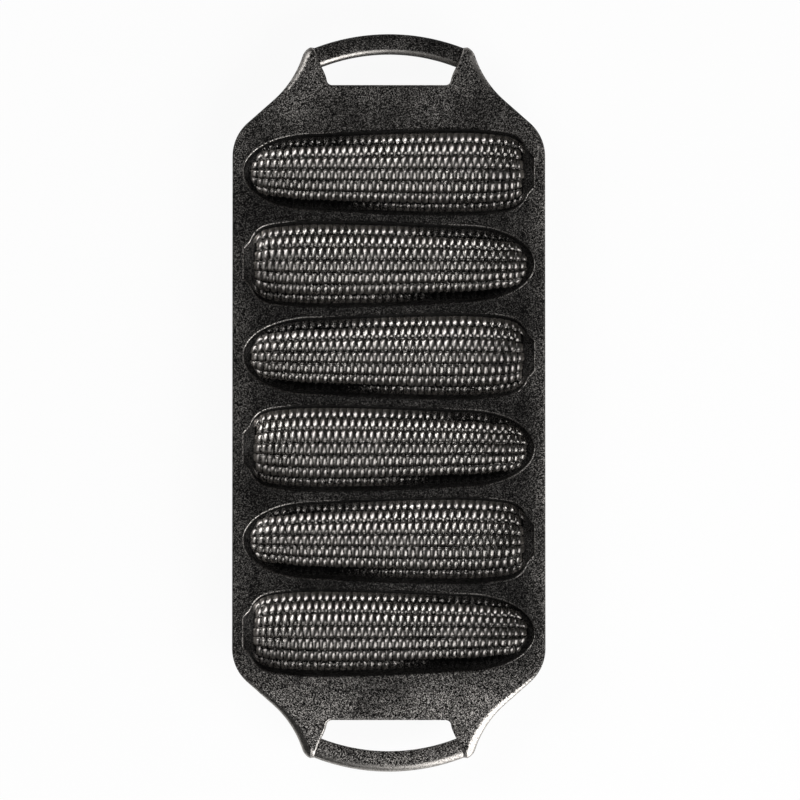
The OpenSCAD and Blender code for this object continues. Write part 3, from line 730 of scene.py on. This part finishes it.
slot_end = on_arc(BAR_INNER_R, BAR_HALF_ANGLE)
slot_edge_y = HALF_LENGTH - BAR_W - SLOT_DEPTH
t = np.linspace(0, 1, SLOT_STEPS)
slot_side = np.stack([slot_end[0] - SLOT_TAPER * t - SLOT_BOW * np.sin(np.pi * t),
                      slot_end[1] - (slot_end[1] - slot_edge_y) * t], 1)
slot_bend = rounded(slot_side[-4], slot_side[-1], slot_side[-1] * [-1, 1], SLOT_R, BEND_STEPS, BEND_ROOM)
slot_half = np.concatenate([slot_side[:-3], slot_bend])
mirror = np.array([-1, 1])
slot = np.concatenate([slot_half, (slot_half * mirror)[::-1]])
lower = (quarter * [1, -1])[::-1]
outline = np.concatenate([lower[:-1], quarter, slot, (quarter * mirror)[::-1][:-1],
                          (lower * mirror)[::-1], (slot * [1, -1])[::-1]])
outer_count = len(lower) - 1 + len(quarter)
is_slot = np.zeros(len(outline), bool)
is_slot[outer_count:outer_count + len(slot)] = True
is_slot[-len(slot):] = True
far_side = outline[:, 1] > 0
print("outline points:", len(outline), "of which round the slots:", is_slot.sum())

# %% [markdown]
# ## The rolled edge
# The real edge is rolled over: narrow along the sides, broad at the small ears, where the pan shows its
# widest highlights, and broadest at the near end. A bevel has one width, so the edge is made of rings.
# Each ring is the outline, moved in and up along a curve between a quarter circle and a straight slope,
# and the widths change along the outline.

# %% Ring directions
SHARP_TURN = math.cos(math.radians(20))

def inward(width):
    before = outline - np.roll(outline, 1, 0)
    after = np.roll(outline, -1, 0) - outline
    n1 = np.stack([-before[:, 1], before[:, 0]], 1) / np.linalg.norm(before, axis=1)[:, None]
    n2 = np.stack([-after[:, 1], after[:, 0]], 1) / np.linalg.norm(after, axis=1)[:, None]
    w1 = np.minimum(width, np.roll(width, 1))
    w2 = np.minimum(width, np.roll(width, -1))
    moves = []
    for i in range(len(outline)):
        if n1[i] @ n2[i] > SHARP_TURN:
            moves.append(unit(n1[i] + n2[i]) * width[i])
        else:
            moves.append(np.linalg.solve(np.array([n1[i], n2[i]]), np.array([w1[i], w2[i]])))
    return np.array(moves)

print("first point moves in by", np.round(inward(np.ones(len(outline)))[0], 2))

# %% Rolled edge
SIDE_ROLL, NEAR_ROLL, FAR_ROLL, SLOT_ROUND = 1.2, 5.8, 4.4, 1.3
SIDE_DROP, NEAR_DROP, FAR_DROP, FOOT_ROUND = 1.2, 3.4, 2.8, 0.6
ROLL_POWER = 1.45
ROLL_STEPS, FOOT_STEPS, FLAT_STRIP = 13, 5, 0.3
FULL_BEFORE_LUG = 4.0

to_lug = np.clip((np.abs(outline[:, 1]) - corner[1]) / (lug[1] - FULL_BEFORE_LUG - corner[1]), 0, 1)
lug_roll, lug_drop = np.where(far_side, FAR_ROLL, NEAR_ROLL), np.where(far_side, FAR_DROP, NEAR_DROP)
roll = np.where(is_slot, SLOT_ROUND, SIDE_ROLL + (lug_roll - SIDE_ROLL) * to_lug)
roll_drop = np.where(is_slot, SLOT_ROUND, SIDE_DROP + (lug_drop - SIDE_DROP) * to_lug)

def edge_ring(move, z):
    return np.column_stack([outline + move, z * np.ones(len(outline))])

def past(move):
    return move * (1 + FLAT_STRIP / np.linalg.norm(move, axis=1)[:, None])

roll_move = inward(roll)
foot_move = inward(np.full(len(outline), FOOT_ROUND))
foot_turns = np.linspace(0, np.pi / 2, FOOT_STEPS)
roll_turns = np.linspace(0, np.pi / 2, ROLL_STEPS)
rings = [edge_ring(past(foot_move), UNDER)]
for turn in foot_turns:
    rings.append(edge_ring(foot_move * (1 - np.sin(turn)), UNDER + FOOT_ROUND * (1 - np.cos(turn))))
for turn in roll_turns:
    reach = math.cos(turn) ** (2 / ROLL_POWER)
    height = math.sin(turn) ** (2 / ROLL_POWER)
    rings.append(edge_ring(roll_move * (1 - reach), TOP - roll_drop * (1 - height)))
rings.append(edge_ring(past(roll_move), TOP))
print("edge rings:", len(rings))

# %% [markdown]
# ## The flat faces
# Between the rolled edge and the six ears the deck is flat, above and below. A flat face with windows
# needs no grid: a constrained triangulation keeps every edge point of the rings and of the windows, so
# the plate closes without a seam. The triangles that fall into a window, or outside the border, are left
# out.

# %% Flat faces with windows
MERGE_WITHIN = 1e-5

def inside_loop(points, loop):
    x, y = points[:, 0][:, None], points[:, 1][:, None]
    x1, y1 = loop[:, 0][None], loop[:, 1][None]
    x2, y2 = np.roll(loop[:, 0], -1)[None], np.roll(loop[:, 1], -1)[None]
    crossing = (y1 > y) != (y2 > y)
    with np.errstate(divide="ignore", invalid="ignore"):
        where = (x2 - x1) * (y - y1) / (y2 - y1) + x1
    return (np.sum(crossing & (x < where), 1) % 2) == 1

def filled(border, holes, z, flip):
    points, edges = [], []
    for loop in [border] + holes:
        start = len(points)
        points += [Vector((float(x), float(y))) for x, y in loop]
        edges += [(start + i, start + (i + 1) % len(loop)) for i in range(len(loop))]
    made = delaunay_2d_cdt(points, edges, [], 0, MERGE_WITHIN)
    flat = np.array([[v.x, v.y] for v in made[0]])
    tri = np.array([list(f) for f in made[2]])
    middle = flat[tri].mean(1)
    keep = inside_loop(middle, border)
    for hole in holes:
        keep &= ~inside_loop(middle, hole)
    tri = tri[keep]
    a, b, c = flat[tri[:, 0]], flat[tri[:, 1]], flat[tri[:, 2]]
    turn = (b[:, 0] - a[:, 0]) * (c[:, 1] - a[:, 1]) - (b[:, 1] - a[:, 1]) * (c[:, 0] - a[:, 0])
    wrong = (turn < 0) != flip
    tri[wrong] = tri[wrong][:, ::-1]
    return np.column_stack([flat, np.full(len(flat), z)]), tri

print("middle of the deck is inside:", inside_loop(np.zeros((1, 2)), outline)[0])

# %% Windows of the deck
SHELL_LAP = 0.6

def window(x, half, end_x):
    right = np.column_stack([x, half])
    left = np.column_stack([x, -half])[::-1]
    return np.concatenate([right, [[end_x, half[-1]], [end_x, -half[-1]]], left])

side = side_wall(station_x, 1)[0]
top_window = window(side[:, 0], side[:, 1], EAR_LENGTH + RIM_ROUND)[:-1]
under_x = shell_x[1:-1]
under_half = ear_half_width(under_x, SIDE_T) - SHELL_LAP
under_window = window(under_x, under_half, EAR_LENGTH + SIDE_T - SHELL_LAP)
top_holes = [to_pan(top_window, *ear) for ear in ears]
under_holes = [to_pan(under_window, *ear) for ear in ears]
top_points, top_tris = filled(rings[-1][:, :2], top_holes, TOP, False)
under_points, under_tris = filled(rings[0][:, :2], under_holes, UNDER, True)
print("flat faces:", len(top_tris), "above,", len(under_tris), "below")

# %% [markdown]
# ## Rubbed edges of the plate
# Hands rub the small ears bright. At the far end that starts higher up, and the foot of the roll stays
# dark. In each slot one side is rubbed, the left one for a cook who stands at that handle. Along the
# straight sides the edge is hardly worn. The wear is a share per ring times a share per outline point, so
# it follows the roll.

# %% Rubbed edges
LUG_POLISH, SIDE_POLISH, SLOT_POLISH, FAR_POLISH = 0.82, 0.1, 0.6, 0.85
FAR_START, FAR_STOP = 146.0, 164.0
FAR_DARK_BELOW = 35.0
NEAR_GAIN, ROLL_GAIN = 3, 2.6

near_polish = SIDE_POLISH + (LUG_POLISH - SIDE_POLISH) * ease(NEAR_GAIN * to_lug)
far_polish = FAR_POLISH * ease((outline[:, 1] - FAR_START) / (FAR_STOP - FAR_START))
slot_polish = SLOT_POLISH * (outline[:, 0] * outline[:, 1] > 0)
along_edge = np.where(is_slot, slot_polish, np.where(far_side, far_polish, near_polish))
under_roll = np.zeros(1 + FOOT_STEPS)
up_roll = np.concatenate([under_roll, ease(ROLL_GAIN * np.cos(roll_turns) ** 2), [0]])
dark_foot = np.concatenate([under_roll, ease(roll_turns / np.radians(FAR_DARK_BELOW)), [0]])
dark_foot = np.where((far_side & ~is_slot)[None], dark_foot[:, None], 1)
edge_polish = (up_roll[:, None] * dark_foot * along_edge[None]).ravel()
print(f"worn points on the edge: {(edge_polish > METAL_FROM).sum()} of {len(edge_polish)}")

# %% Make the plate
edge_points = np.concatenate(rings)
plate_points = np.concatenate([edge_points, top_points, under_points])
plate_faces = grid_faces(len(rings), len(outline), closed=True)
plate_faces += [tuple(int(i) + len(edge_points) for i in f) for f in top_tris]
plate_faces += [tuple(int(i) + len(edge_points) + len(top_points) for i in f) for f in under_tris]
plate_polish = np.concatenate([edge_polish, np.zeros(len(top_points) + len(under_points))])
make_piece("cast_deck_plate", plate_points, plate_faces, deck_iron,
           ["deck", "far_shoulder", "near_shoulder"], "seasoned_iron", polish=plate_polish, as_cast=1)

# %% [markdown]
# ## The handle bars
# Each bar is a curved rod with a crowned top, set a little lower than the deck so that the small ears
# stand over its ends. It is one smooth section swept along an arc, with its points crowded where the
# crown turns down, because the highlight lies there. Both ends run on for a few degrees inside the ears
# and shrink there, which hides the cut and gives the root a soft fillet from below.

# %% Section of a bar
BAR_TOP = bar_high[2]
BAR_EDGE_R, BAR_CROWN, CROWN_POWER = 1.9, 3.4, 2.2
CROWN_STEPS, BAR_EDGE_STEPS = 25, 7

def bar_section():
    half = BAR_W / 2
    share = np.sin(np.linspace(np.pi / 2, -np.pi / 2, CROWN_STEPS))
    crown = BAR_CROWN * (1 - np.abs(share) ** CROWN_POWER) ** (1 / CROWN_POWER)
    points = [(half * s, BAR_H - BAR_CROWN + lift) for s, lift in zip(share, crown)]
    for center_x, start in ((-(half - BAR_EDGE_R), 180), (half - BAR_EDGE_R, 270)):
        for i in range(BAR_EDGE_STEPS + 1):
            turn = math.radians(start + 90 * i / BAR_EDGE_STEPS)
            points.append((center_x + BAR_EDGE_R * math.cos(turn), BAR_EDGE_R + BAR_EDGE_R * math.sin(turn)))
    return np.array(points)

section = bar_section()
print(f"section of {len(section)} points, {BAR_W} mm wide and {section[:, 1].max():.1f} mm high")

# %% [markdown]
# ## Wear of the bars
# Fingers curl round the side of a bar that faces the near end of the pan, on both bars, and only that
# side is rubbed. How far the section tilts says where: at the far bar a narrow strip on the inner edge,
# at the near bar a broad one on the outer edge, which fades over the crown.

# %% Rubbed sides of the bars
NARROW_POLISH, NARROW_FROM, NARROW_OVER, NARROW_TO = 0.95, 16.0, 12.0, 52.0
BROAD_POLISH, BROAD_FROM, BROAD_OVER = 0.75, 3.0, 18.0
ABOVE_EDGE = 0.1

run = np.roll(section, -1, 0) - np.roll(section, 1, 0)
tilt = np.degrees(np.arctan2(np.abs(run[:, 1]), np.abs(run[:, 0])))
on_crown = section[:, 1] > BAR_H - BAR_CROWN + ABOVE_EDGE
narrow_wear = NARROW_POLISH * ease((tilt - NARROW_FROM) / NARROW_OVER) * (tilt < NARROW_TO) * on_crown
broad_wear = BROAD_POLISH * ease((tilt - BROAD_FROM) / BROAD_OVER) * on_crown
print(f"the crown tilts up to {tilt[on_crown].max():.0f} degrees")

# %% Sweep the bars
SUNK = math.radians(2.2)
TURN_STEPS = 49
ROOT_SHRINK, ROOT_LIFT = 0.5, 1.2
middle_r = BAR_OUTER_R - BAR_W / 2
root_turns = BAR_HALF_ANGLE + SUNK * np.array([0.5, 1])
bar_turns = np.linspace(-BAR_HALF_ANGLE, BAR_HALF_ANGLE, TURN_STEPS)
turns = np.concatenate([-root_turns[::-1], bar_turns, root_turns])

for name, facing, wear in (("far", 1, narrow_wear), ("near", -1, broad_wear)):
    rows = []
    for turn in turns:
        buried = max(0, (abs(turn) - BAR_HALF_ANGLE) / SUNK)
        size = 1 - ROOT_SHRINK * buried ** 2
        radial = middle_r + section[:, 0] * size
        z = BAR_TOP - BAR_H / 2 + (section[:, 1] - BAR_H / 2) * size + ROOT_LIFT * buried ** 2
        rows.append(np.column_stack([facing * radial * math.sin(turn),
                                     facing * (BAR_CENTER_Y + radial * math.cos(turn)), z]))
    points = np.concatenate(rows)
    faces = grid_faces(len(turns), len(section), closed=True)
    faces += [tuple(range(len(section)))[::-1], tuple(range(len(points) - len(section), len(points)))]
    near_side = section[:, 0] * facing < 0
    make_piece(f"cast_{name}_bar", points, faces, bar_iron, [f"{name}_handle_bar"], "seasoned_iron",
               polish=np.tile(wear * near_side, len(turns)), as_cast=1)

# %% [markdown]
# ## The white floor
# The photograph is a shop picture: white all round and hardly a shadow. White comes from the floor as the
# camera and reflections see it, not from more light on the iron. The floor keeps a small share of its
# matt paint, so it still takes the pan's shadow.

# %% Floor
FLOOR_WHITE = 0.93
FLOOR_HALF = 3.0

floor_paint = bpy.data.materials.new("white_studio_floor")
floor_paint.use_nodes = True
tree = floor_paint.node_tree
tree.nodes.remove(tree.nodes["Principled BSDF"])
matt = add_node(tree, "BsdfDiffuse", {"Color": linear("#fafafa")})
white = add_node(tree, "Emission", {"Color": linear("#ffffff"), "Strength": 1.0})
path = add_node(tree, "LightPath")
seen = path.outputs["Is Camera Ray"]
for ray in ("Is Transmission Ray", "Is Glossy Ray"):
    seen = add_node(tree, "Math", {"operation": "MAXIMUM"}, {0: seen, 1: path.outputs[ray]})
    seen = seen.outputs["Value"]
amount = add_node(tree, "Math", {"operation": "MULTIPLY", 1: FLOOR_WHITE}, {0: seen})
floor_look = add_node(tree, "MixShader", {},
                      {0: amount.outputs["Value"], 1: matt.outputs["BSDF"], 2: white.outputs["Emission"]})
tree.links.new(floor_look.outputs["Shader"], tree.nodes["Material Output"].inputs["Surface"])

floor_mesh = bpy.data.meshes.new("floor")
floor_corners = [(x * FLOOR_HALF, y * FLOOR_HALF, 0) for x, y in ((-1, -1), (1, -1), (1, 1), (-1, 1))]
floor_mesh.from_pydata(floor_corners, [], [(0, 1, 2, 3)])
floor_mesh.materials.append(floor_paint)
floor = bpy.data.objects.new("floor", floor_mesh)
scene.collection.objects.link(floor)
print(f"floor {2 * FLOOR_HALF} m wide")

# %% [markdown]
# ## Light
# A big low lamp at the lower right runs along the rolled edges, and a smaller one at the upper left
# glints in the kernels. Two faint ones, one high up and one from the right, fill the noses of the ears.
# The sky is almost black, because polished iron mirrors it, and the photographed pan has black between
# its glints. Together they light a white card on the floor to about white, so a colour renders about as
# it is written.

# %% Sky and lamps
SKY_LEVEL = 0.008
LAMP_DISTANCE = 1.6
LAMPS = {"lamp_lower_right": {"azimuth": -50, "from_vertical": 66, "size": (1.6, 1.5), "power": 37.5},
         "lamp_upper_left": {"azimuth": 148, "from_vertical": 50, "size": (1.3, 1.0), "power": 12.0},
         "lamp_overhead": {"azimuth": -70, "from_vertical": 32, "size": (1.2, 1.2), "power": 1.0},
         "lamp_right": {"azimuth": 5, "from_vertical": 58, "size": (1.4, 1.4), "power": 4.5}}

sky = bpy.data.worlds.new("studio")
scene.world = sky
sky.use_nodes = True
plain_sky = sky.node_tree.nodes["Background"]
plain_sky.inputs["Color"].default_value = linear("#ffffff")
plain_sky.inputs["Strength"].default_value = SKY_LEVEL

def softbox(name, azimuth, from_vertical, size, power):
    lamp = bpy.data.lights.new(name, "AREA")
    lamp.shape = "RECTANGLE"
    lamp.size, lamp.size_y = size
    lamp.energy = power
    a, t = math.radians(azimuth), math.radians(from_vertical)
    holder = bpy.data.objects.new(name, lamp)
    holder.location = (LAMP_DISTANCE * math.sin(t) * math.cos(a), LAMP_DISTANCE * math.sin(t) * math.sin(a),
                       LAMP_DISTANCE * math.cos(t))
    holder.rotation_euler = (-Vector(holder.location)).to_track_quat("-Z", "Y").to_euler()
    scene.collection.objects.link(holder)
    print(f"{name}: {power} W")

for name, setting in LAMPS.items():
    softbox(name, **setting)

# %% [markdown]
# ## Camera
# The photograph looks straight down to within about three degrees, from far enough away that both ends
# show the same size. A pixel of it is 0.4885 mm on the pan, which with the distance gives the lens, and
# the pan's centre in the picture gives the aim.

# %% Camera
PIXEL_MM = 0.4885
PHOTO_SIDE = 800
PAN_CENTER_PX = (388.8, 402.0)
SENSOR_MM = 36.0
DISTANCE, TILT = 2.5, math.radians(1.5)

aim = Vector(((PHOTO_SIDE / 2 - PAN_CENTER_PX[0]) * PIXEL_MM * MM,
              -(PHOTO_SIDE / 2 - PAN_CENTER_PX[1]) * PIXEL_MM * MM, TOP * MM))
view = bpy.data.cameras.new("camera")
view.sensor_width = SENSOR_MM
view.lens = SENSOR_MM * DISTANCE / (PHOTO_SIDE * PIXEL_MM * MM)
camera = bpy.data.objects.new("camera", view)
camera.location = aim + DISTANCE * Vector((0, -math.sin(TILT), math.cos(TILT)))
camera.rotation_euler = (TILT, 0, 0)
scene.collection.objects.link(camera)
scene.camera = camera
scene.view_settings.view_transform = "Standard"
print(f"lens {view.lens:.1f} mm")
